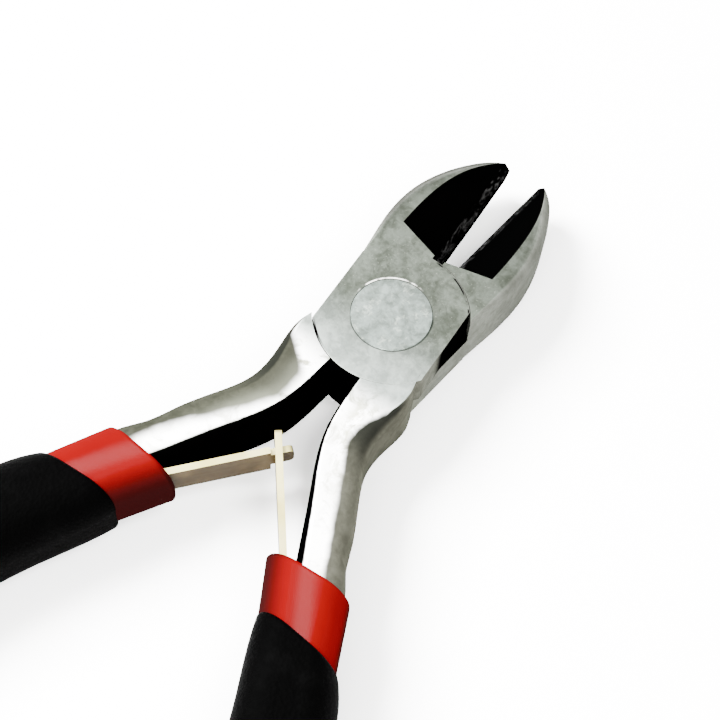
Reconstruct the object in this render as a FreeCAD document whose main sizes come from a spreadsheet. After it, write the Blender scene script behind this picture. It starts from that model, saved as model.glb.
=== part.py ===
import FreeCAD, Part

import math
import os

import Sketcher
from FreeCAD import Placement, Rotation, Vector

# Small diagonal cutting pliers: two lap-jointed halves on one flush rivet, a pair of crossed leaf springs,
# and a glossy sleeve with a matt grip over it on each handle. Millimetres.
#
# Frame: the origin is where the pivot axis meets the flat underside of the joint, +X points to the jaw tips,
# +Y to the left jaw and +Z up, out of the face that carries the jaw recesses. Each half is drawn with the
# jaws shut, its cutting edge on the X axis, and its placement turns it open about Z. The upper half has the
# left jaw, the upper plate of the joint and the right handle; the lower half has the other three.

SIZES = {
    # joint
    "axis_line": 0.0,
    "joint_thickness": 8.5,
    "plate_radius": 8.6,
    "plate_half_width": 6.95,
    "plate_thickness": 4.23,
    "plate_edge_round": 0.1,
    "upper_plate_base": 4.27,
    "shoulder_radius": 8.65,
    "open_half_angle": 4.28,
    # rivet, tight in the lower half and free in the upper
    "head_radius": 4.5,
    "head_flat_radius": 4.42,
    "head_chamfer": 0.08,
    "head_depth": 1.6,
    "upper_head_base": 6.9,
    "upper_head_chamfer": 8.42,
    "shank_radius": 3.0,
    "free_head_radius": 4.53,
    "free_head_base": 6.87,
    "free_shank_radius": 3.03,
    # recess, bevel and relief of each jaw
    "edge_line": 0.0,
    "recess_root": 9.05,
    "recess_wall_angle": 19.8,
    "edge_height": 3.45,
    "bevel_width": 0.8,
    "bevel_height": 4.47,
    "slope_far_width": 8.5,
    "slope_far_height": 10.8,
    "relief_width": 0.6,
    "cut_overrun": 0.5,
    "cut_end": 30.0,
    # leaf springs
    "leaf_half_thickness": 0.375,
    "leaf_width": 3.9,
    "leaf_root_radius": 0.45,
    "leaf_root_back": 32.1,
    "leaf_root_side": 7.46,
    "leaf_middle": 4.9,
    "left_leaf_angle": 34.7,
    "right_leaf_angle": 35.8,
    "slotted_leaf_length": 17.9,
    "tongue_leaf_length": 16.9,
    "leaf_corner_round": 0.6,
    "tongue_start": 14.4,
    "tongue_top": 1.4,
    "tongue_bottom": 0.8,
    "tongue_clear_height": 3.0,
    "slot_start": 14.6,
    "slot_end": 16.5,
    "slot_top": 1.5,
    "slot_bottom": 0.9,
    # rims of the handle covers and tail of the grip
    "sleeve_rim_round": 0.4,
    "grip_rim_slant": 8.5,
    "grip_rim_round": 0.5,
    "grip_end_round": 3.0,
}

# Sections across each part at right angles to X: distance from the pivot, inner side, outer side,
# underside, top, then the corner rounds on the inner and on the outer side. Rows are evenly spaced, or
# nearly so, to keep the smooth surface through them from swinging out between rows.
JAW = [
    (2.5, 0.01, 6.93, 0.02, 8.48, 0.05, 0.15),
    (6.0, 0.01, 7.00, 0.02, 8.48, 0.05, 0.25),
    (9.5, 0.01, 7.40, 0.02, 8.46, 0.05, 0.70),
    (13.0, 0.01, 7.55, 0.05, 8.28, 0.05, 1.10),
    (16.5, 0.01, 7.10, 0.15, 7.90, 0.05, 1.30),
    (20.0, 0.01, 5.90, 0.35, 7.25, 0.05, 1.30),
    (23.5, 0.01, 4.05, 0.65, 6.15, 0.05, 1.10),
    (27.0, 0.01, 0.85, 1.10, 4.50, 0.05, 0.40),
]
NECK = [
    (3.0, 1.50, 6.93, 0.02, 8.48, 0.30, 0.30),
    (7.0, 1.12, 6.95, 0.02, 8.48, 0.32, 0.35),
    (11.0, 1.15, 6.70, 0.05, 8.45, 0.38, 1.40),
    (15.0, 1.40, 6.62, 0.12, 8.40, 0.50, 2.00),
    (19.0, 2.55, 8.15, 0.28, 8.32, 0.70, 2.15),
    (23.0, 4.30, 9.95, 0.50, 8.25, 0.95, 2.10),
    (27.0, 5.95, 11.55, 0.75, 8.18, 1.20, 2.10),
    (31.0, 7.60, 12.95, 1.00, 8.10, 1.40, 2.10),
]
TANG = [
    (31.0, 7.60, 12.95, 1.00, 8.10, 1.40, 2.10),
    (45.0, 12.90, 18.20, 1.05, 7.70, 1.30, 2.00),
    (59.0, 16.60, 21.20, 1.10, 7.40, 1.20, 1.80),
    (73.0, 18.10, 22.40, 1.30, 7.20, 1.30, 1.60),
    (87.0, 18.10, 22.10, 1.50, 7.00, 1.30, 1.50),
]
SLEEVE = [
    (29.6, 3.60, 13.75, 0.50, 9.00, 3.75, 3.60),
    (40.0, 8.55, 17.85, 0.10, 9.05, 3.90, 3.60),
    (50.0, 12.35, 21.15, -0.20, 9.00, 3.90, 3.60),
    (60.0, 14.80, 23.30, -0.40, 8.95, 3.60, 3.50),
    (70.0, 15.90, 24.30, -0.40, 8.90, 3.30, 3.40),
    (80.0, 16.20, 24.40, -0.25, 8.75, 3.10, 3.30),
    (90.0, 16.00, 23.90, -0.05, 8.55, 3.00, 3.20),
]
GRIP = [
    (34.3, 6.50, 17.10, -1.10, 9.60, 3.90, 4.10),
    (44.0, 9.50, 20.50, -1.20, 9.70, 4.20, 4.40),
    (52.0, 12.00, 23.00, -1.25, 9.75, 4.20, 4.40),
    (60.0, 13.60, 24.70, -1.25, 9.75, 4.20, 4.40),
    (68.0, 14.60, 25.50, -1.20, 9.70, 4.20, 4.40),
    (76.0, 15.05, 25.70, -1.10, 9.60, 4.10, 4.30),
    (84.0, 15.10, 25.40, -1.00, 9.50, 4.00, 4.20),
    (92.0, 15.20, 24.80, -0.75, 9.25, 3.90, 4.10),
]
POCKET = [
    (28.7, 4.20, 7.60, 2.60, 7.20, 0.20, 0.20),
    (33.2, 6.50, 8.90, 2.60, 7.20, 0.20, 0.20),
]
SECTION_SIZES = ("reach", "inner", "outer", "underside", "top", "inner_round", "outer_round")
SECTION_TABLES = {
    "jaw": JAW,
    "neck": NECK,
    "tang": TANG,
    "sleeve": SLEEVE,
    "grip": GRIP,
    "pocket": POCKET,
}


def make_sheet(doc):
    """Put every size in one sheet, one row each, with its name as the alias."""
    sheet = doc.addObject("Spreadsheet::Sheet", "Sizes")
    rows = dict(SIZES)
    for part, sections in SECTION_TABLES.items():
        for number, section in enumerate(sections, 1):
            for size, value in zip(SECTION_SIZES, section):
                rows["%s_%d_%s" % (part, number, size)] = value
    for row, (name, value) in enumerate(rows.items(), 1):
        sheet.set("A%d" % row, name)
        sheet.set("B%d" % row, repr(value))
        sheet.setAlias("B%d" % row, name)
    doc.recompute()
    return sheet


DOC = FreeCAD.newDocument("diagonal_cutting_pliers")
SHEET = make_sheet(DOC)


def size(name):
    """The sheet's value of a size; a leading minus gives it with the other sign."""
    if name.startswith("-"):
        return -float(SHEET.get(name[1:]))
    return float(SHEET.get(name))


def formula(name):
    """The expression that ties a property to a size of the sheet."""
    if name.startswith("-"):
        return "-1 * Sizes." + name[1:]
    return "Sizes." + name


def opposite(name):
    """The name of the same size with its sign turned."""
    return name[1:] if name.startswith("-") else "-" + name


def start_body(name):
    body = DOC.addObject("PartDesign::Body", name)
    body.Label = name
    return body


def new_sketch(body, name, plane, offset=None, turn=None):
    """A sketch on one of the body's own planes, moved along its normal by a size and turned if asked."""
    sketch = body.newObject("Sketcher::SketchObject", name)
    planes = [item for item in body.Origin.OriginFeatures if item.Role == plane]
    sketch.AttachmentSupport = [(planes[0], "")]
    sketch.MapMode = "FlatFace"
    if offset:
        rotation = turn or Rotation()
        sketch.AttachmentOffset = Placement(Vector(0, 0, size(offset)), rotation)
        sketch.setExpression("AttachmentOffset.Base.z", formula(offset))
    return sketch


def tie(sketch, kind, place, name):
    """Give a sketch a dimension whose value comes from the sheet."""
    index = sketch.addConstraint(Sketcher.Constraint(kind, *place, size(name)))
    sketch.setExpression("Constraints[%d]" % index, formula(name))


def draw_polygon(sketch, corners):
    """Straight-sided outline through corners that are pairs of size names."""
    points = [Vector(size(across), size(up), 0) for across, up in corners]
    count = len(points)
    for index in range(count):
        sketch.addGeometry(Part.LineSegment(points[index], points[(index + 1) % count]))
    for index in range(count):
        sketch.addConstraint(Sketcher.Constraint("Coincident", index, 2, (index + 1) % count, 1))
    for index, (across, up) in enumerate(corners):
        tie(sketch, "DistanceX", (-1, 1, index, 1), across)
        tie(sketch, "DistanceY", (-1, 1, index, 1), up)


def draw_circle(sketch, radius):
    sketch.addGeometry(Part.Circle(Vector(), Vector(0, 0, 1), size(radius)))
    sketch.addConstraint(Sketcher.Constraint("Coincident", 0, 3, -1, 1))
    tie(sketch, "Radius", (0,), radius)


def draw_rounded_box(sketch, low, high, bottom, top, low_round, high_round):
    """Box with rounded corners; its two low corners and its two high corners each share a radius."""
    left, right = size(low), size(high)
    base, crest = size(bottom), size(top)
    near, far = size(low_round), size(high_round)
    normal = Vector(0, 0, 1)
    quarter = math.pi / 2

    def corner(across, up, radius, turn):
        circle = Part.Circle(Vector(across, up, 0), normal, radius)
        return Part.ArcOfCircle(circle, turn * quarter, (turn + 1) * quarter)

    sketch.addGeometry(Part.LineSegment(Vector(left + near, base, 0), Vector(right - far, base, 0)))
    sketch.addGeometry(corner(right - far, base + far, far, 3))
    sketch.addGeometry(Part.LineSegment(Vector(right, base + far, 0), Vector(right, crest - far, 0)))
    sketch.addGeometry(corner(right - far, crest - far, far, 0))
    sketch.addGeometry(Part.LineSegment(Vector(right - far, crest, 0), Vector(left + near, crest, 0)))
    sketch.addGeometry(corner(left + near, crest - near, near, 1))
    sketch.addGeometry(Part.LineSegment(Vector(left, crest - near, 0), Vector(left, base + near, 0)))
    sketch.addGeometry(corner(left + near, base + near, near, 2))
    for index in range(8):
        sketch.addConstraint(Sketcher.Constraint("Tangent", index, 2, (index + 1) % 8, 1))
    for index, direction in ((0, "Horizontal"), (2, "Vertical"), (4, "Horizontal"), (6, "Vertical")):
        sketch.addConstraint(Sketcher.Constraint(direction, index))
    tie(sketch, "DistanceX", (-1, 1, 6, 1), low)
    tie(sketch, "DistanceX", (-1, 1, 2, 1), high)
    tie(sketch, "DistanceY", (-1, 1, 0, 1), bottom)
    tie(sketch, "DistanceY", (-1, 1, 4, 1), top)
    for index, radius in ((1, high_round), (3, high_round), (5, low_round), (7, low_round)):
        tie(sketch, "Radius", (index,), radius)


def section_sketches(body, part, side, forward, first_turn=None):
    """One sketch per row of a section table; side is +1 for the left of the tool, -1 for the right.

    The first section can be turned about Z, for an end that is cut on a slant.
    """
    sketches = []
    for number in range(1, len(SECTION_TABLES[part]) + 1):
        stem = "%s_%d_" % (part, number)
        reach = stem + "reach" if forward else "-" + stem + "reach"
        low, high = stem + "inner", stem + "outer"
        low_round, high_round = stem + "inner_round", stem + "outer_round"
        if side < 0:
            low, high = opposite(high), opposite(low)
            low_round, high_round = high_round, low_round
        turn = first_turn if number == 1 else None
        sketch = new_sketch(body, "%s_section_%d" % (part, number), "YZ_Plane", reach, turn)
        draw_rounded_box(sketch, low, high, stem + "underside", stem + "top", low_round, high_round)
        sketches.append(sketch)
    return sketches


def loft(body, name, sketches, cut=False, ruled=False):
    """Join a row of sketches into a solid, or cut that solid away."""
    kind = "PartDesign::SubtractiveLoft" if cut else "PartDesign::AdditiveLoft"
    feature = body.newObject(kind, name)
    feature.Profile = sketches[0]
    feature.Sections = sketches[1:]
    feature.Ruled = ruled
    DOC.recompute()
    return feature


def pad(body, name, sketch, length, both_ways=False):
    feature = body.newObject("PartDesign::Pad", name)
    feature.Profile = sketch
    feature.setExpression("Length", formula(length))
    if both_ways:
        feature.Midplane = True
    DOC.recompute()
    return feature


def pocket(body, name, sketch, length, upwards):
    """Cut a sketch's outline away for a length, up or down from its plane."""
    feature = body.newObject("PartDesign::Pocket", name)
    feature.Profile = sketch
    feature.setExpression("Length", formula(length))
    feature.Reversed = upwards
    DOC.recompute()
    return feature


def in_plane(point, normal):
    """Test for edges whose ends lie in the plane through a point, at right angles to a direction."""
    return lambda edge: all(abs((vertex.Point - point).dot(normal)) < 0.01 for vertex in edge.Vertexes)


def round_edges(body, name, radius, chosen):
    """Fillet every edge of the body that passes a test."""
    base = body.Tip
    names = ["Edge%d" % index for index, edge in enumerate(base.Shape.Edges, 1) if chosen(edge)]
    feature = body.newObject("PartDesign::Fillet", name)
    feature.Base = (base, names)
    feature.setExpression("Radius", formula(radius))
    DOC.recompute()
    return feature


def draw_flatted_disc(sketch, radius, half_width):
    """Disc about the origin with a flat on its left and on its right."""
    reach, side = size(radius), size(half_width)
    along = math.sqrt(reach * reach - side * side)
    angle = math.atan2(side, along)
    circle = Part.Circle(Vector(), Vector(0, 0, 1), reach)
    sketch.addGeometry(Part.ArcOfCircle(circle, -angle, angle))
    sketch.addGeometry(Part.LineSegment(Vector(along, side, 0), Vector(-along, side, 0)))
    sketch.addGeometry(Part.ArcOfCircle(circle, math.pi - angle, math.pi + angle))
    sketch.addGeometry(Part.LineSegment(Vector(-along, -side, 0), Vector(along, -side, 0)))
    for index in range(4):
        sketch.addConstraint(Sketcher.Constraint("Coincident", index, 2, (index + 1) % 4, 1))
    for index in (0, 2):
        sketch.addConstraint(Sketcher.Constraint("Coincident", index, 3, -1, 1))
        tie(sketch, "Radius", (index,), radius)
    for index in (1, 3):
        sketch.addConstraint(Sketcher.Constraint("Horizontal", index))
    tie(sketch, "DistanceY", (-1, 1, 1, 1), half_width)
    tie(sketch, "DistanceY", (-1, 1, 3, 1), opposite(half_width))


def add_plate(body, upper):
    """The half-thickness plate of the joint with the rim of its outer face eased."""
    base = "upper_plate_base" if upper else None
    sketch = new_sketch(body, "plate_outline", "XY_Plane", base)
    draw_flatted_disc(sketch, "plate_radius", "plate_half_width")
    pad(body, "plate", sketch, "plate_thickness")
    outer_face = Vector(0, 0, size("joint_thickness") if upper else 0.0)
    round_edges(body, "plate_rim", "plate_edge_round", in_plane(outer_face, Vector(0, 0, 1)))


def cut_shoulders(body, upper):
    """Clear the jaw and the handle away where the other half's plate turns."""
    base = "upper_plate_base" if upper else "plate_thickness"
    sketch = new_sketch(body, "shoulder_outline", "XY_Plane", base)
    draw_circle(sketch, "shoulder_radius")
    pocket(body, "shoulders", sketch, "joint_thickness", not upper)


def bore_for_rivet(body, upper):
    """Through hole for the shank and a counterbore for one head; free in the upper half."""
    shank = new_sketch(body, "shank_outline", "XY_Plane")
    draw_circle(shank, "free_shank_radius" if upper else "shank_radius")
    pocket(body, "shank_bore", shank, "joint_thickness", True)
    head = new_sketch(body, "head_outline", "XY_Plane", "free_head_base" if upper else "head_depth")
    draw_circle(head, "free_head_radius" if upper else "head_radius")
    pocket(body, "head_bore", head, "joint_thickness", upper)


def on_side(side, corners):
    """Corners given for the left jaw, carried over to the right one for side -1."""
    if side > 0:
        return corners
    return [(opposite(across), up) for across, up in corners]


# The cuts above and below the cutting edge of the left jaw, as pairs of size names across and up.
RECESS_CORNERS = [
    ("-cut_overrun", "edge_height"),
    ("edge_line", "edge_height"),
    ("bevel_width", "bevel_height"),
    ("slope_far_width", "slope_far_height"),
    ("-cut_overrun", "slope_far_height"),
]
RELIEF_CORNERS = [
    ("-cut_overrun", "edge_height"),
    ("edge_line", "edge_height"),
    ("relief_width", "-cut_overrun"),
    ("-cut_overrun", "-cut_overrun"),
]


def cut_along_jaw(body, name, corners, start, turn=None):
    """Run an outline along the jaw from a start, which can be a slanted wall, out past the tip."""
    first = new_sketch(body, name + "_start", "YZ_Plane", start, turn)
    draw_polygon(first, corners)
    last = new_sketch(body, name + "_end", "YZ_Plane", "cut_end")
    draw_polygon(last, corners)
    loft(body, name, [first, last], cut=True, ruled=True)


def make_half(name, side, upper):
    """One forging: plate, jaw on its own side and handle on the other."""
    body = start_body(name)
    add_plate(body, upper)
    loft(body, "jaw", section_sketches(body, "jaw", side, True))
    loft(body, "neck", section_sketches(body, "neck", -side, False))
    loft(body, "tang", section_sketches(body, "tang", -side, False))
    cut_shoulders(body, upper)
    bore_for_rivet(body, upper)
    slant = Rotation(Vector(0, 1, 0), -side * size("recess_wall_angle"))
    cut_along_jaw(body, "recess", on_side(side, RECESS_CORNERS), "recess_root", slant)
    cut_along_jaw(body, "relief", on_side(side, RELIEF_CORNERS), "shoulder_radius")
    body.Placement = Placement(Vector(), half_turn(side))
    return body


def half_turn(side):
    """How far the half with the jaw on this side stands open."""
    return Rotation(Vector(0, 0, 1), side * size("open_half_angle"))


def make_rivet():
    body = start_body("pivot_rivet")
    sketch = new_sketch(body, "rivet_profile", "XZ_Plane")
    corners = [
        ("axis_line", "axis_line"),
        ("head_flat_radius", "axis_line"),
        ("head_radius", "head_chamfer"),
        ("head_radius", "head_depth"),
        ("shank_radius", "head_depth"),
        ("shank_radius", "upper_head_base"),
        ("head_radius", "upper_head_base"),
        ("head_radius", "upper_head_chamfer"),
        ("head_flat_radius", "joint_thickness"),
        ("axis_line", "joint_thickness"),
    ]
    draw_polygon(sketch, corners)
    feature = body.newObject("PartDesign::Revolution", "rivet")
    feature.Profile = sketch
    feature.ReferenceAxis = (sketch, ["V_Axis"])
    feature.Angle = 360
    DOC.recompute()
    return body


def box_corners(low, high, bottom, top):
    return [(low, bottom), (high, bottom), (high, top), (low, top)]


def cut_through_leaf(body, name, corners):
    sketch = new_sketch(body, name + "_outline", "XZ_Plane")
    draw_polygon(sketch, corners)
    feature = pocket(body, name, sketch, "leaf_width", False)
    feature.Midplane = True
    DOC.recompute()


def across_leaf(tip):
    """Test for the two edges that run through the leaf's thickness at its tip."""
    at_tip = in_plane(Vector(tip, 0, 0), Vector(1, 0, 0))
    return lambda edge: at_tip(edge) and abs(edge.Vertexes[0].Z - edge.Vertexes[-1].Z) < 0.01


def make_leaf(name, side, length, angle, slotted):
    """Flat spring on the handle of one side, drawn along X from its root and then set in place."""
    body = start_body(name)
    strip = new_sketch(body, "strip_outline", "XY_Plane")
    draw_polygon(strip, box_corners("axis_line", length, "-leaf_half_thickness", "leaf_half_thickness"))
    pad(body, "strip", strip, "leaf_width", both_ways=True)
    if slotted:
        cut_through_leaf(body, "slot", box_corners("slot_start", "slot_end", "-slot_bottom", "slot_top"))
    else:
        above = box_corners("tongue_start", "cut_end", "tongue_top", "tongue_clear_height")
        below = box_corners("tongue_start", "cut_end", "-tongue_clear_height", "-tongue_bottom")
        cut_through_leaf(body, "above_tongue", above)
        cut_through_leaf(body, "below_tongue", below)
    round_edges(body, "tip_corners", "leaf_corner_round", across_leaf(size(length)))
    root = new_sketch(body, "root_outline", "XY_Plane")
    draw_circle(root, "leaf_root_radius")
    pad(body, "root", root, "leaf_width", both_ways=True)
    seat = Vector(-size("leaf_root_back"), side * size("leaf_root_side"), size("leaf_middle"))
    lean = Rotation(Vector(0, 0, 1), -side * size(angle))
    body.Placement = Placement(Vector(), half_turn(-side)) * Placement(seat, lean)
    return body


def make_sleeve(name, side):
    """Glossy inner sleeve: a hollow fitted to the handle, and a mouth that lets the leaf swing."""
    body = start_body(name)
    loft(body, "outside", section_sketches(body, "sleeve", side, False))
    rim = Vector(-size("sleeve_1_reach"), 0, 0)
    round_edges(body, "rim", "sleeve_rim_round", in_plane(rim, Vector(1, 0, 0)))
    loft(body, "neck_hollow", section_sketches(body, "neck", side, False), cut=True)
    loft(body, "tang_hollow", section_sketches(body, "tang", side, False), cut=True)
    loft(body, "leaf_mouth", section_sketches(body, "pocket", side, False), cut=True, ruled=True)
    body.Placement = Placement(Vector(), half_turn(-side))
    return body


def make_grip(name, side):
    """Soft outer grip, closed at the tail, over the sleeve."""
    body = start_body(name)
    slant = Rotation(Vector(0, 1, 0), side * size("grip_rim_slant"))
    loft(body, "outside", section_sketches(body, "grip", side, False, slant))
    rim = Vector(-size("grip_1_reach"), 0, 0)
    rim_normal = Rotation(Vector(0, 0, 1), side * size("grip_rim_slant")).multVec(Vector(1, 0, 0))
    round_edges(body, "rim", "grip_rim_round", in_plane(rim, rim_normal))
    tail = Vector(-size("grip_8_reach"), 0, 0)
    round_edges(body, "tail", "grip_end_round", in_plane(tail, Vector(1, 0, 0)))
    loft(body, "hollow", section_sketches(body, "sleeve", side, False), cut=True)
    body.Placement = Placement(Vector(), half_turn(-side))
    return body


def write_parts(bodies):
    """Stop on any fault, then write one file per body, named after its label."""
    DOC.recompute()
    for item in DOC.Objects:
        if "Invalid" in item.State or "Error" in item.State:
            raise RuntimeError("%s is %s" % (item.Label, item.State))
    os.makedirs("parts", exist_ok=True)
    for body in bodies:
        shape = body.Shape
        if shape.isNull() or not shape.isValid() or len(shape.Solids) != 1:
            raise RuntimeError("%s has no sound solid" % body.Label)
        shape.exportStep("parts/%s.step" % body.Label)
        print(body.Label, round(shape.Volume, 1))


write_parts(
    [
        make_half("upper_half", 1, True),
        make_half("lower_half", -1, False),
        make_rivet(),
        make_leaf("left_leaf_spring", 1, "tongue_leaf_length", "left_leaf_angle", False),
        make_leaf("right_leaf_spring", -1, "slotted_leaf_length", "right_leaf_angle", True),
        make_sleeve("left_sleeve", 1),
        make_sleeve("right_sleeve", -1),
        make_grip("left_grip", 1),
        make_grip("right_grip", -1),
    ]
)
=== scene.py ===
import math

import bpy
from mathutils import Matrix, Vector


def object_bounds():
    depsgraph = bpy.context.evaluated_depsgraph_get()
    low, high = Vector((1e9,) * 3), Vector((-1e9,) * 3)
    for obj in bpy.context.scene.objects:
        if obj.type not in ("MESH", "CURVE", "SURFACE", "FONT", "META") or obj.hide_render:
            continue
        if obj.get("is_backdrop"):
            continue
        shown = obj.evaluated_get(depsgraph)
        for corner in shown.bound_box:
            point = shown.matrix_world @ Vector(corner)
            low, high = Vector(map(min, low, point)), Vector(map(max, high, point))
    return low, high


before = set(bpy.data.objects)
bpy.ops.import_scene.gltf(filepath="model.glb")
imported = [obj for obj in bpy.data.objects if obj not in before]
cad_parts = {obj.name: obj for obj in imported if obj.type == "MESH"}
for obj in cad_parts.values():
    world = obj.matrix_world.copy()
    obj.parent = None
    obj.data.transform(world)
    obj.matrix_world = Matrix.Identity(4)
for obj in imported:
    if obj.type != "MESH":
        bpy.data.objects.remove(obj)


def plain(bounds):
    """Bounds as plain lists, whatever vectors they came as."""
    return [[float(value) for value in corner] for corner in bounds]


sizes = {"cad": plain(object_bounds())}

# Places are in metres in the frame's own axes: +X to the jaw tips, +Y to the left jaw, +Z up.
MM = 0.001

# Each half is known by the side of its jaw, 1 for left and -1 for right. The upper half has the left jaw and
# the right handle, and the lower half the other two. Both stand turned open by this angle, each from where
# its cutting edge would lie on the X axis.
UPPER = 1
LOWER = -1
HALF_OPEN = math.radians(4.28)


# Node helpers


class Graph:
    """Short names for the nodes of one material."""

    def __init__(self, name):
        self.material = bpy.data.materials.new(name)
        self.material.use_nodes = True
        self.tree = self.material.node_tree
        self.tree.nodes.clear()
        output = self.add("ShaderNodeOutputMaterial")
        self.surface = self.add("ShaderNodeBsdfPrincipled")
        self.link(self.surface.outputs["BSDF"], output.inputs["Surface"])
        coordinates = self.add("ShaderNodeTexCoord")
        self.place = coordinates.outputs["Object"]
        self.normal = coordinates.outputs["Normal"]

    def add(self, kind):
        return self.tree.nodes.new(kind)

    def link(self, source, target):
        self.tree.links.new(source, target)

    def feed(self, target, value):
        """Set an input to a number or colour, or link it to an output."""
        if isinstance(value, bpy.types.NodeSocket):
            self.link(value, target)
        else:
            target.default_value = value

    def math(self, operation, first, second=0.0, third=0.0):
        node = self.add("ShaderNodeMath")
        node.operation = operation
        for socket, value in zip(node.inputs, (first, second, third)):
            self.feed(socket, value)
        return node.outputs[0]

    def vector_math(self, operation, first, second=(0, 0, 0)):
        node = self.add("ShaderNodeVectorMath")
        node.operation = operation
        self.feed(node.inputs[0], first)
        self.feed(node.inputs[1], second)
        return node.outputs["Value" if operation == "LENGTH" else "Vector"]

    def both(self, *masks):
        """Product of masks."""
        result = masks[0]
        for mask in masks[1:]:
            result = self.math("MULTIPLY", result, mask)
        return result

    def either(self, *masks):
        """Largest of masks."""
        result = masks[0]
        for mask in masks[1:]:
            result = self.math("MAXIMUM", result, mask)
        return result

    def ramp(self, value, low, high, start=0.0, end=1.0):
        """Smooth step from start to end while value goes from low to high."""
        node = self.add("ShaderNodeMapRange")
        node.interpolation_type = "SMOOTHSTEP"
        for name, number in (("From Min", low), ("From Max", high), ("To Min", start), ("To Max", end)):
            node.inputs[name].default_value = number
        self.feed(node.inputs["Value"], value)
        return node.outputs["Result"]

    def ramp_mm(self, value, low, high, start=0.0, end=1.0):
        """Smooth step over a distance whose two ends are given in millimetres."""
        return self.ramp(value, low * MM, high * MM, start, end)

    def noise(self, scale, detail=3.0, roughness=0.5, distortion=0.0, stretch=None):
        """Noise over the object's own coordinates; scale is in features per metre."""
        vector = self.place
        if stretch:
            mapping = self.add("ShaderNodeMapping")
            self.link(vector, mapping.inputs["Vector"])
            mapping.inputs["Scale"].default_value = stretch
            vector = mapping.outputs["Vector"]
        node = self.add("ShaderNodeTexNoise")
        self.link(vector, node.inputs["Vector"])
        node.inputs["Scale"].default_value = scale
        node.inputs["Detail"].default_value = detail
        node.inputs["Roughness"].default_value = roughness
        node.inputs["Distortion"].default_value = distortion
        return node.outputs["Fac"]

    def wander(self, scale, width):
        """Noise about zero that strays over this width in all."""
        centred = self.math("SUBTRACT", self.noise(scale), 0.5)
        return self.math("MULTIPLY", centred, width)

    def parts(self, vector):
        """X, Y and Z of a vector."""
        split = self.add("ShaderNodeSeparateXYZ")
        self.link(vector, split.inputs["Vector"])
        return [split.outputs[name] for name in ("X", "Y", "Z")]

    def turned(self, vector, angle):
        """X, Y and Z of a vector after a turn about Z."""
        node = self.add("ShaderNodeVectorRotate")
        node.rotation_type = "Z_AXIS"
        node.inputs["Angle"].default_value = angle
        self.link(vector, node.inputs["Vector"])
        return self.parts(node.outputs["Vector"])

    def mix(self, factor, first, second):
        """First colour at 0, second at 1."""
        node = self.add("ShaderNodeMix")
        node.data_type = "RGBA"
        self.feed(node.inputs[0], factor)
        self.feed(node.inputs[6], first)
        self.feed(node.inputs[7], second)
        return node.outputs[2]

    def blend(self, factor, first, second):
        """First number at 0, second at 1."""
        node = self.add("ShaderNodeMix")
        node.data_type = "FLOAT"
        self.feed(node.inputs[0], factor)
        self.feed(node.inputs[2], first)
        self.feed(node.inputs[3], second)
        return node.outputs[0]

    def bump(self, height, distance, strength, under=None):
        """Normal pushed about by a height, on top of another bump if there is one under it."""
        node = self.add("ShaderNodeBump")
        node.inputs["Strength"].default_value = strength
        node.inputs["Distance"].default_value = distance
        self.link(height, node.inputs["Height"])
        if under is not None:
            self.link(under, node.inputs["Normal"])
        return node.outputs["Normal"]

    def set(self, **values):
        """Feed inputs of the surface by name, such as base_color or roughness."""
        for name, value in values.items():
            label = name.replace("_", " ").title().replace("Ior", "IOR")
            self.feed(self.surface.inputs[label], value)


class Forging(Graph):
    """Nodes of one half. Its masks share these places and directions, turned back to the shut tool."""

    def __init__(self, name, side):
        super().__init__(name)
        self.is_upper = side == UPPER
        self.along, self.across, self.up = self.turned(self.place, -side * HALF_OPEN)
        self.faces_ahead, self.faces_left, self.faces_up = self.turned(self.normal, -side * HALF_OPEN)
        self.faces_jaw_side = self.math("MULTIPLY", self.faces_left, float(side))
        self.faces_handle_side = self.math("MULTIPLY", self.faces_left, -float(side))
        self.lies_flat = self.math("ABSOLUTE", self.faces_up)
        self.jaw_side = self.math("MULTIPLY", self.across, float(side))
        self.handle_side = self.math("MULTIPLY", self.across, -float(side))
        self.radius = self.vector_math("LENGTH", self.vector_math("MULTIPLY", self.place, (1, 1, 0)))
        self.ragged = self.math("ADD", self.along, self.wander(900.0, 0.4 * MM))
        self.inset = self.handle_inset()

    def handle_inset(self):
        """Distance inwards from the handle's outer edge, which is straight at first and then slants out."""
        slant = 0.433
        slant_start = 15.4 * MM
        back = self.math("MAXIMUM", self.math("MULTIPLY", self.along, -1.0), slant_start)
        edge = self.math("MULTIPLY_ADD", back, slant, -0.08 * MM)
        inset = self.math("SUBTRACT", edge, self.handle_side)
        return self.math("ADD", inset, self.wander(350.0, 0.8 * MM))


# Plated steel. The light is strong enough to turn the floor white, so the base colours are dark.


def plating(graph, tint, shade):
    """Blotchy satin plating with fine specks: sets its bump, and returns colour, blotches and roughness."""
    blotch = graph.noise(380.0, 5.0, 0.60, 0.6)
    mottle = graph.noise(1500.0, 3.0, 0.6, 0.6)
    patch = graph.ramp(graph.blend(0.35, blotch, mottle), 0.34, 0.66)
    speck = graph.ramp(graph.noise(4200.0, 2.0, 0.6), 0.62, 0.75, 0.0, 0.35)
    colour = graph.mix(speck, graph.mix(patch, shade, tint), (0.20, 0.21, 0.18, 1))
    graph.set(normal=graph.bump(graph.blend(0.5, blotch, mottle), 0.06 * MM, 0.5))
    return colour, patch, graph.blend(patch, 0.38, 0.45)


def rivet_steel():
    """The same plating, brighter and flecked."""
    graph = Graph("rivet_steel")
    colour, _, roughness = plating(graph, (0.16, 0.19, 0.175, 1), (0.083, 0.099, 0.088, 1))
    fleck = graph.ramp(graph.noise(620.0, 5.0, 0.7, 0.2), 0.55, 0.66, 0.0, 0.45)
    colour = graph.mix(fleck, colour, (0.36, 0.40, 0.35, 1))
    graph.set(base_color=colour, metallic=1.0, roughness=roughness)
    return graph.material


# Masks of a forging


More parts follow.
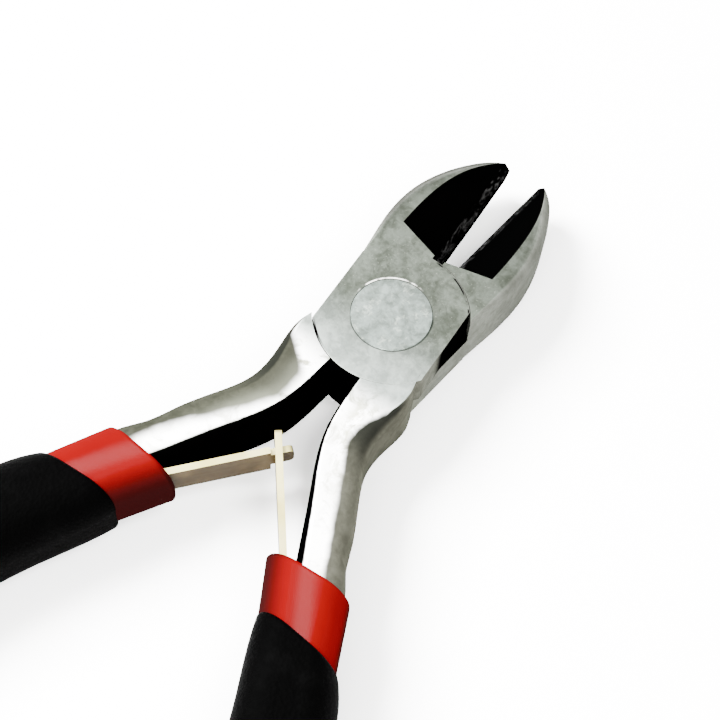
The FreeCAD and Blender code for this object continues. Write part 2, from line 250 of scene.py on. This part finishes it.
def jaw_recess_mask(half):
    """Slope and end wall of the jaw's recess."""
    slope = half.both(half.ramp_mm(half.ragged, 8.6, 8.7), half.ramp(half.faces_handle_side, 0.3, 0.4))
    on_jaw = half.both(half.ramp_mm(half.ragged, 8.9, 9.0), half.ramp_mm(half.up, 3.3, 3.4))
    near_root = half.ramp_mm(half.ragged, 13.0, 12.8)
    return half.either(slope, half.both(on_jaw, near_root, half.ramp(half.faces_ahead, 0.7, 0.8)))


def handle_inside_mask(half):
    """Inner face of the handle, and the crotch where it leaves the plate."""
    inner = half.both(half.ramp_mm(half.ragged, -8.2, -8.4), half.ramp(half.faces_jaw_side, 0.30, 0.42))
    crotch = half.both(half.ramp_mm(half.ragged, -7.5, -7.9), half.ramp(half.faces_ahead, -0.75, -0.85))
    return half.either(inner, crotch)


def seam_mask(half):
    """Narrow line where the two plates meet, halfway up the joint."""
    line = half.both(half.ramp_mm(half.up, 4.16, 4.19), half.ramp_mm(half.up, 4.34, 4.31))
    return half.both(line, half.ramp_mm(half.radius, 8.8, 8.7))


def joint_side_mask(half):
    """Beside the pivot: the edge of the upper plate, or the step that it leaves bare on the lower one."""
    reach = half.both(half.ramp_mm(half.ragged, -2.4, -0.8), half.ramp_mm(half.ragged, 5.4, 5.2))
    if half.is_upper:
        edge = half.ramp(half.math("ABSOLUTE", half.faces_left), 0.8, 0.9)
        return half.both(reach, edge, half.ramp_mm(half.up, 4.2, 4.24))
    return half.both(reach, half.ramp(half.faces_up, 0.8, 0.9), half.ramp_mm(half.up, 4.6, 4.4))


def rear_arc_mask(half):
    """Dark arc at the rear left of the upper plate's rim."""
    arc = half.both(half.ramp_mm(half.radius, 8.30, 8.36), half.ramp_mm(half.along, -4.0, -6.0))
    return half.both(arc, half.ramp_mm(half.across, 2.5, 5.5))


def black_area_mask(half):
    """1 where the forging is black: oxide on the jaw's recess and the handle's inner face, and the seam, the
    crotch, the edges beside the pivot and, on the upper half, the rear arc.
    """
    mask = half.either(jaw_recess_mask(half), handle_inside_mask(half))
    mask = half.either(mask, seam_mask(half), joint_side_mask(half))
    if half.is_upper:
        mask = half.either(mask, rear_arc_mask(half))
    return mask


def side_shade_mask(half):
    """1 where painted shade goes on the sides: all that faces sideways, and the outer part of the handle's
    top.
    """
    if half.is_upper:
        width = half.ramp_mm(half.along, -7.5, -14.0, -0.6 * MM, 2.5 * MM)
        fade = 0.5
    else:
        widening = half.ramp_mm(half.along, -7.5, -12.5, -0.6 * MM, 4.6 * MM)
        width = half.math("ADD", widening, half.ramp_mm(half.along, -16.0, -27.0, 0.0, -2.0 * MM))
        fade = 0.9
    outer = half.ramp_mm(half.math("SUBTRACT", half.inset, width), fade, -fade)
    outer = half.both(outer, half.ramp_mm(half.along, -7.5, -8.5))
    return half.either(half.ramp(half.lies_flat, 0.99, 0.88), outer)


def polish_mask(half):
    """Rising to 1 along the handle."""
    start, full = (-8.0, -12.5) if half.is_upper else (-6.5, -10.5)
    return half.ramp_mm(half.along, start, full)


def jaw_rim_shade_mask(half):
    """Painted shade rising towards the outer edge of the jaw, whose line is close to a parabola."""
    widest_at = 12.0 * MM
    width = 7.5 * MM
    falling_off = -30.0
    beyond = half.math("SUBTRACT", half.along, widest_at)
    edge = half.math("MULTIPLY_ADD", half.math("MULTIPLY", beyond, beyond), falling_off, width)
    near_edge = half.ramp_mm(half.math("SUBTRACT", edge, half.jaw_side), 1.7, 0.2)
    strength = 0.75 if half.is_upper else 0.25
    return half.both(near_edge, half.ramp_mm(half.along, 7.0, 12.0, 0.0, strength))


def bevel_glint_mask(half):
    """Painted glints: light flecks on the bevel beside the cutting edge."""
    bevel = half.both(half.ramp(half.faces_handle_side, 0.69, 0.74), half.ramp(half.faces_up, 0.4, 0.5))
    bevel = half.both(bevel, half.ramp_mm(half.along, 8.9, 9.0))
    return half.both(bevel, half.ramp(half.noise(1300.0, 4.0, 0.7, 1.2, (0.5, 1.0, 1.0)), 0.48, 0.70))


# Colours of a forging


def pale_towards_handle(half, colour, patch):
    """Paler plating from the front of the rivet back to the handle."""
    pale = half.mix(patch, (0.18, 0.205, 0.19, 1), (0.25, 0.28, 0.26, 1))
    return half.mix(half.ramp_mm(half.along, 1.0, -9.5), colour, pale)


def ring_rivet(half, colour):
    """Line round the rivet's head, painted as if lit: a broken painted highlight at the front left, painted
    shade at the rear right.
    """
    lit_along, lit_across = 0.82, 0.57
    sideways = half.math("MULTIPLY", half.across, lit_across)
    towards_light = half.math("MULTIPLY_ADD", half.along, lit_along, sideways)
    bearing = half.math("DIVIDE", towards_light, half.radius)
    ring = half.both(half.ramp_mm(half.radius, 4.50, 4.57), half.ramp_mm(half.radius, 4.76, 4.64))
    broken = half.ramp(half.noise(700.0, 3.0, 0.6), 0.36, 0.56)
    lit = half.both(ring, broken, half.ramp(bearing, 0.60, 0.85))
    colour = half.mix(lit, colour, (0.85, 0.86, 0.80, 1))
    # Painted shade in the groove at the rear right.
    groove_shade = half.both(half.ramp_mm(half.radius, 4.68, 4.60), half.ramp(bearing, 0.0, -0.3))
    return half.mix(half.math("MULTIPLY", groove_shade, 0.8), colour, (0.010, 0.012, 0.010, 1))


def chip_plate_edge(half, colour):
    """Dark chipped line along the front edge of the upper plate, on the right."""
    edge = half.both(half.ramp_mm(half.radius, 8.28, 8.34), half.ramp_mm(half.radius, 8.6, 8.5))
    edge = half.both(edge, half.ramp_mm(half.along, 2.5, 4.0), half.ramp_mm(half.across, -0.4, -0.8))
    chipped = half.ramp(half.noise(900.0, 3.0, 0.6), 0.44, 0.56)
    return half.mix(half.both(edge, chipped), colour, (0.004, 0.004, 0.004, 1))


def polished_colour(half):
    """Bright steel with worn patches, and on the upper half's handle a rubbed stretch as well."""
    worn = half.ramp(half.noise(520.0, 5.0, 0.65, 0.8), 0.50, 0.68)
    worn = half.both(worn, half.ramp_mm(half.along, -26.0, -13.0, 0.4, 1.0))
    bright = half.mix(worn, (0.93, 0.93, 0.91, 1), (0.22, 0.22, 0.165, 1))
    if not half.is_upper:
        return bright
    rubbed = half.ramp(half.noise(420.0, 5.0, 0.7, 0.5), 0.40, 0.60)
    stretch = half.both(half.ramp_mm(half.along, -9.0, -11.5), half.ramp_mm(half.along, -25.0, -17.0))
    rubbed = half.both(rubbed, stretch, half.ramp_mm(half.inset, 5.2, 3.0))
    return half.mix(rubbed, bright, (0.34, 0.34, 0.26, 1))


def handle_flank_colour(half, patch):
    """Painted shade grey for the handle's sides; the lower half's is painted darker still at its outer edge.
    """
    if half.is_upper:
        return half.mix(patch, (0.021, 0.021, 0.016, 1), (0.036, 0.036, 0.028, 1))
    outer = half.mix(patch, (0.010, 0.0105, 0.0075, 1), (0.018, 0.0185, 0.0135, 1))
    return half.mix(half.ramp_mm(half.inset, 1.6, 4.4), outer, (0.060, 0.063, 0.048, 1))


def flank_colour(half, patch, rim):
    """Painted shade on all the sides: grey, darker in the hollow of the neck, in its crease and on the jaw's
    rim.
    """
    jaw = half.mix(patch, (0.036, 0.038, 0.032, 1), (0.058, 0.061, 0.053, 1))
    colour = half.mix(half.ramp_mm(half.along, 2.0, -9.0), jaw, handle_flank_colour(half, patch))
    # Painted shade in the hollow of the neck.
    hollow = half.both(half.ramp_mm(half.along, -7.0, -9.5), half.ramp_mm(half.along, -19.0, -13.0))
    colour = half.mix(half.math("MULTIPLY", hollow, 0.4), colour, (0.009, 0.009, 0.007, 1))
    # Painted shade along the crease at the top of the flank.
    crease = half.both(half.ramp(half.lies_flat, 0.25, 0.75), half.blend(hollow, 0.25, 0.9))
    crease = half.both(crease, half.ramp_mm(half.along, -5.0, -9.0))
    if not half.is_upper:
        crease = half.both(crease, half.ramp(half.lies_flat, 0.99, 0.93))
    colour = half.mix(crease, colour, (0.003, 0.0033, 0.0027, 1))
    # Painted shade along the jaw's rim.
    return half.mix(rim, colour, (0.008, 0.008, 0.007, 1))


def top_colour(half, colour, patch, polished, rim):
    """The faces that lie flat: plating, marks on the joint, and polish on the handle."""
    colour = pale_towards_handle(half, colour, patch)
    colour = ring_rivet(half, colour)
    if half.is_upper:
        colour = chip_plate_edge(half, colour)
    colour = half.mix(polished, colour, polished_colour(half))
    # Painted shade along the jaw's rim, on the top as well.
    return half.mix(rim, colour, (0.012, 0.013, 0.010, 1))


def forging_steel(name, side):
    """One half: plated and polished on top, grey with painted shade on its sides, and black in places."""
    half = Forging(name, side)
    colour, patch, roughness = plating(half, (0.080, 0.091, 0.076, 1), (0.040, 0.046, 0.036, 1))
    polished = polish_mask(half)
    # Painted shade along the jaw's outer edge.
    rim = jaw_rim_shade_mask(half)
    # Painted shade on the sides, which are made darker than the tops.
    flank = side_shade_mask(half)
    black_area = black_area_mask(half)
    # Matt where the sides carry painted shade, and where the forging is black.
    bare = half.either(flank, black_area)
    colour = half.mix(flank, top_colour(half, colour, patch, polished, rim), flank_colour(half, patch, rim))
    # Black, with painted glints on the bevel.
    black = half.mix(bevel_glint_mask(half), (0.00012, 0.00012, 0.00012, 1), (0.016, 0.016, 0.016, 1))
    metallic = half.both(half.blend(polished, 1.0, 0.25), half.math("SUBTRACT", 1.0, bare))
    half.set(base_color=half.mix(black_area, colour, black), metallic=metallic)
    half.set(roughness=half.blend(black_area, roughness, 0.5), specular_ior_level=half.blend(bare, 0.3, 0.0))
    return half.material


# The other materials


def straw_spring():
    """Straw-coloured strip with painted light: its edges pale as if lit from above, its broad faces darker
    and browner with painted shade.
    """
    graph = Graph("spring_steel")
    on_edge = graph.ramp(graph.math("ABSOLUTE", graph.parts(graph.normal)[2]), 0.5, 0.8)
    streak = graph.noise(1800.0, 3.0, 0.5, 0.0, (0.15, 0.15, 1.0))
    bloom = graph.ramp(graph.noise(260.0, 3.0, 0.5), 0.35, 0.7)
    # Painted shade on the broad faces, painted light on the edges.
    face = graph.mix(bloom, (0.016, 0.010, 0.0035, 1), (0.034, 0.023, 0.009, 1))
    edge = graph.mix(bloom, (0.40, 0.35, 0.13, 1), (0.52, 0.47, 0.22, 1))
    graph.set(base_color=graph.mix(on_edge, face, edge), metallic=graph.math("MULTIPLY", on_edge, 0.8))
    graph.set(roughness=graph.blend(streak, 0.26, 0.44), specular_ior_level=0.02)
    graph.set(normal=graph.bump(streak, 0.02 * MM, 0.5))
    return graph.material


def sleeve_highlight_strip(graph, along, away):
    """1 along the middle line of either sleeve, seen from above, where the painted highlight strip lies;
    away is the distance from the X axis.
    """
    slant = -0.606
    middle = graph.math("MULTIPLY_ADD", along, slant, -6.66 * MM)
    off_middle = graph.math("ABSOLUTE", graph.math("SUBTRACT", away, middle))
    return graph.ramp_mm(off_middle, 1.7, 0.3)


def red_vinyl():
    """Soft red plastic with painted shade below and inwards. The normal of its faint gloss leans to the key
    light, and the gloss is kept to a strip that makes a painted highlight along the middle.
    """
    graph = Graph("red_sleeve")
    cloud = graph.noise(160.0, 3.0, 0.5)
    along, across, _ = graph.parts(graph.place)
    _, faces_left, faces_up = graph.parts(graph.normal)
    faces_inwards = graph.math("MULTIPLY", graph.both(faces_left, graph.math("SIGN", across)), -1.0)
    painted_shade = graph.either(graph.ramp(faces_up, 0.62, 0.05), graph.ramp(faces_inwards, 0.15, 0.85))
    colour = graph.mix(cloud, (0.036, 0.0004, 0.0006, 1), (0.052, 0.0005, 0.0008, 1))
    # Painted shade on the faces below and inwards.
    colour = graph.mix(painted_shade, colour, (0.0065, 0.0009, 0.0009, 1))
    graph.set(base_color=colour, roughness=0.5, specular_ior_level=0.0)
    grain = graph.bump(graph.noise(3200.0, 2.0, 0.5), 0.01 * MM, 0.3)
    ripple = graph.bump(graph.noise(330.0, 2.0, 0.4), 0.12 * MM, 0.5, grain)
    lean = (-0.16, 0.28, 0.0)
    leaning = graph.vector_math("NORMALIZE", graph.vector_math("ADD", ripple, lean))
    graph.set(normal=ripple, coat_normal=leaning, coat_roughness=graph.blend(cloud, 0.14, 0.22))
    highlight_strip = sleeve_highlight_strip(graph, along, graph.math("ABSOLUTE", across))
    # Painted highlight strip: the gloss is strongest along the middle of each sleeve.
    graph.set(coat_weight=graph.blend(highlight_strip, 0.002, 0.012))
    return graph.material


def black_foam():
    """Matt black foam: fine cells, a rough grain and a little dust."""
    graph = Graph("black_grip")
    cells = graph.add("ShaderNodeTexVoronoi")
    cells.inputs["Scale"].default_value = 2400.0
    graph.link(graph.place, cells.inputs["Vector"])
    grain = graph.noise(1500.0, 5.0, 0.65)
    dust = graph.ramp(graph.noise(300.0, 4.0, 0.6), 0.5, 0.8)
    colour = graph.mix(dust, (0.0001, 0.0001, 0.0001, 1), (0.0003, 0.0003, 0.0003, 1))
    graph.set(base_color=colour, roughness=graph.blend(grain, 0.62, 0.85), specular_ior_level=0.004)
    height = graph.math("ADD", cells.outputs["Distance"], grain)
    graph.set(normal=graph.bump(height, 0.08 * MM, 0.6))
    return graph.material


def dress(material, *names):
    """Put a material on CAD pieces, whose meshes stay as they are."""
    for name in names:
        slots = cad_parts[name].data.materials
        slots.clear()
        slots.append(material)


dress(forging_steel("upper_steel", UPPER), "upper_half")
dress(forging_steel("lower_steel", LOWER), "lower_half")
dress(rivet_steel(), "pivot_rivet")
dress(straw_spring(), "left_leaf_spring", "right_leaf_spring")
dress(red_vinyl(), "left_sleeve", "right_sleeve")
dress(black_foam(), "left_grip", "right_grip")


# Stage, lights and camera


def make_floor():
    """Pale floor just under the tool."""
    below = sizes["cad"][0][2] - 0.1 * MM
    bpy.ops.mesh.primitive_plane_add(size=4.0, location=(0, 0, below))
    floor = bpy.context.object
    floor.name = "floor"
    graph = Graph("floor")
    tone = graph.noise(14.0, 2.0, 0.5)
    graph.set(base_color=graph.mix(tone, (0.93, 0.93, 0.93, 1), (0.95, 0.95, 0.95, 1)), roughness=0.9)
    graph.set(specular_ior_level=0.1)
    floor.data.materials.append(graph.material)
    floor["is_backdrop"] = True


def make_world():
    """Even warm-white light from all round."""
    world = bpy.data.worlds.new("studio")
    bpy.context.scene.world = world
    world.use_nodes = True
    back = world.node_tree.nodes["Background"]
    back.inputs["Color"].default_value = (1.0, 0.985, 0.955, 1)
    back.inputs["Strength"].default_value = 3.2


def soft_box(name, place, aim, size, power):
    """Rectangular white light at a place, turned to face its aim; metres and watts."""
    data = bpy.data.lights.new(name, "AREA")
    data.shape = "RECTANGLE"
    data.size, data.size_y = size
    data.energy = power
    lamp = bpy.data.objects.new(name, data)
    bpy.context.scene.collection.objects.link(lamp)
    lamp.location = place
    lamp.rotation_euler = (Vector(aim) - Vector(place)).to_track_quat("-Z", "Y").to_euler()


def make_camera():
    """Camera above and behind the right handle, looking forwards over the joint, rolled a little."""
    azimuth = math.radians(211.252)
    elevation = math.radians(61.336)
    roll = math.radians(-6.19)
    distance = 191.8 * MM
    aim = Vector((-4.65, 0.53, 4.256)) * MM
    level = Vector((math.cos(azimuth), math.sin(azimuth), 0.0))
    right = Vector((-math.sin(azimuth), math.cos(azimuth), 0.0))
    back = level * math.cos(elevation) + Vector((0.0, 0.0, math.sin(elevation)))
    up = back.cross(right)
    rolled_right = right * math.cos(roll) - up * math.sin(roll)
    rolled_up = right * math.sin(roll) + up * math.cos(roll)
    matrix = Matrix((rolled_right, rolled_up, back)).transposed().to_4x4()
    matrix.translation = aim + back * distance
    data = bpy.data.cameras.new("camera")
    data.sensor_width = 36.0
    data.lens = 87.64
    data.clip_start = 5.0 * MM
    camera = bpy.data.objects.new("camera", data)
    bpy.context.scene.collection.objects.link(camera)
    camera.matrix_world = matrix
    bpy.context.scene.camera = camera


make_floor()
make_world()
soft_box("key", place=(-0.10, 0.40, 0.42), aim=(-0.02, 0, 0), size=(0.30, 0.30), power=58.0)
soft_box("fill", place=(-0.45, -0.20, 0.35), aim=(-0.02, 0, 0), size=(0.50, 0.50), power=14.0)
soft_box("glint", place=(0.03, -0.19, 0.45), aim=(-0.05, 0.02, 0), size=(0.03, 0.20), power=4.5)
make_camera()

sizes["visual"] = plain(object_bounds())
